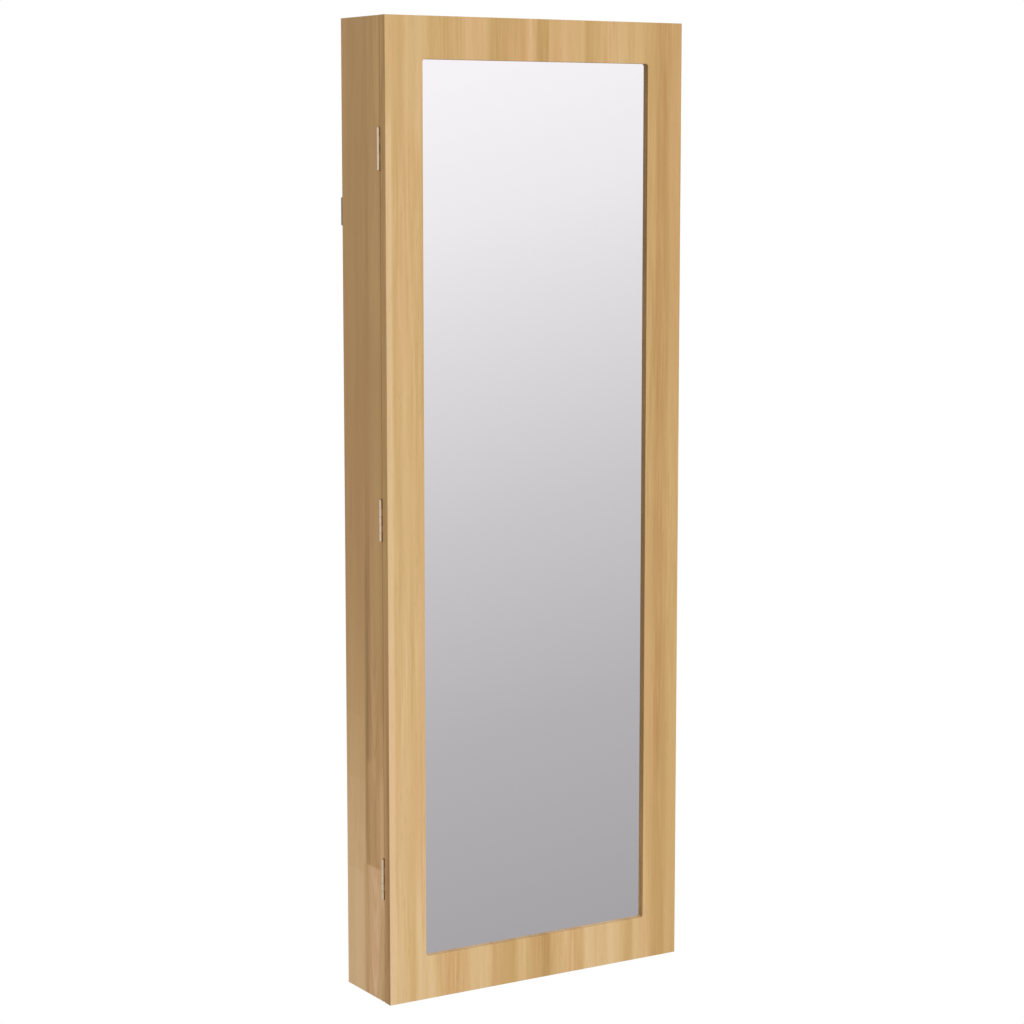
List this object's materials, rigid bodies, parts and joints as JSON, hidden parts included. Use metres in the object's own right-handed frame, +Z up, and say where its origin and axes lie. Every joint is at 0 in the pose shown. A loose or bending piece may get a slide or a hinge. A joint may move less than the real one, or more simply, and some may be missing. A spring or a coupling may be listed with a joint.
{
  "type": "jewelry mirror cabinet",
  "caption": "Shallow wall-hung jewelry cabinet behind a hinged full-length framed mirror door, with shelves, ring rolls, a bracelet rod and necklace pegs inside.",
  "frame": {"origin": "on the plane of the cabinet's back, at the middle of its width, level with its underside", "axes": "+X to the right of a person facing the mirror, +Y into the wall, +Z up; millimetres in the source, metres here"},
  "size_m": [0.3774, 0.1001, 1.06],
  "materials": {
    "oak_film": "oak-pattern film on board, matt, grain upright",
    "hardboard": "smooth brown hardboard",
    "velvet": "short-pile charcoal velvet",
    "packing_card": "corrugated card",
    "mirror": "silvered float glass",
    "acrylic": "clear acrylic",
    "hinge_metal": "pale warm plated steel",
    "nickel": "satin nickel plate",
    "zinc": "zinc plate",
    "rod_aluminium": "satin anodised",
    "dark_plastic": "moulded, lightly textured",
    "catch_plastic": "moulded ivory plastic",
    "ferrite": "ground ferrite",
    "clear_rubber": "translucent soft pads",
    "beech": "fluted beech dowel"
  },
  "bodies": {
    "cabinet": {"side_panel_left": "oak_film", "side_panel_right": "oak_film", "top_panel": "oak_film", "bottom_panel": "oak_film", "hanging_rail_upper": "oak_film", "hanging_rail_lower": "oak_film", "necklace_peg_rail": "oak_film", "ring_tray": "oak_film", "shelf_lower": "oak_film", "shelf_middle": "oak_film", "shelf_upper": "oak_film", "back_panel": "hardboard", "back_lining": "velvet", "ring_roll_1": "velvet", "ring_roll_2": "velvet", "ring_roll_3": "velvet", "ring_roll_4": "velvet", "ring_roll_5": "velvet", "ring_roll_6": "velvet", "shelf_guard_bottom": "acrylic", "shelf_guard_lower": "acrylic", "shelf_guard_middle": "acrylic", "hinge_lower_cabinet_leaf": "hinge_metal", "hinge_lower_pin": "hinge_metal", "hinge_middle_cabinet_leaf": "hinge_metal", "hinge_middle_pin": "hinge_metal", "hinge_upper_cabinet_leaf": "hinge_metal", "hinge_upper_pin": "hinge_metal", "necklace_pegs": "nickel", "shelf_pins": "nickel", "hanging_plates": "nickel", "cabinet_hardware_screws": "zinc", "back_panel_nails": "zinc", "hanging_plate_screws": "zinc", "bracelet_cradle_left": "dark_plastic", "bracelet_cradle_right": "dark_plastic", "catch_body_lower": "catch_plastic", "catch_body_upper": "catch_plastic", "catch_magnets": "ferrite", "door_bumpers": "clear_rubber", "carcass_dowels": "beech"},
    "door": {"door_frame": "oak_film", "mirror_glass": "mirror", "mirror_packing_sheet": "packing_card", "mirror_backing_board": "hardboard", "door_lining": "velvet", "backing_board_screws": "zinc", "earring_panel": "oak_film", "earring_panel_posts": "nickel", "door_peg_rail": "oak_film", "door_pegs": "nickel", "door_tray": "acrylic", "door_fitting_long_screws": "zinc", "door_fitting_short_screws": "zinc", "door_hardware_screws": "zinc", "strike_plates": "nickel", "hinge_lower_door_leaf": "hinge_metal", "hinge_middle_door_leaf": "hinge_metal", "hinge_upper_door_leaf": "hinge_metal"},
    "bracelet_rod": {"bracelet_rod": "rod_aluminium"}
  },
  "joints": [
    {"name": "door_hinge", "type": "hinge", "parent": "cabinet", "child": "door", "pos_m": [-0.1883, -0.084, 0.53], "axis": [0, 0, -1], "range_deg": [0, 175]},
    {"name": "bracelet_rod_lift", "type": "slide", "parent": "cabinet", "child": "bracelet_rod", "axis": [0, 0, 1], "range_m": [0, 0.02]}
  ]
}
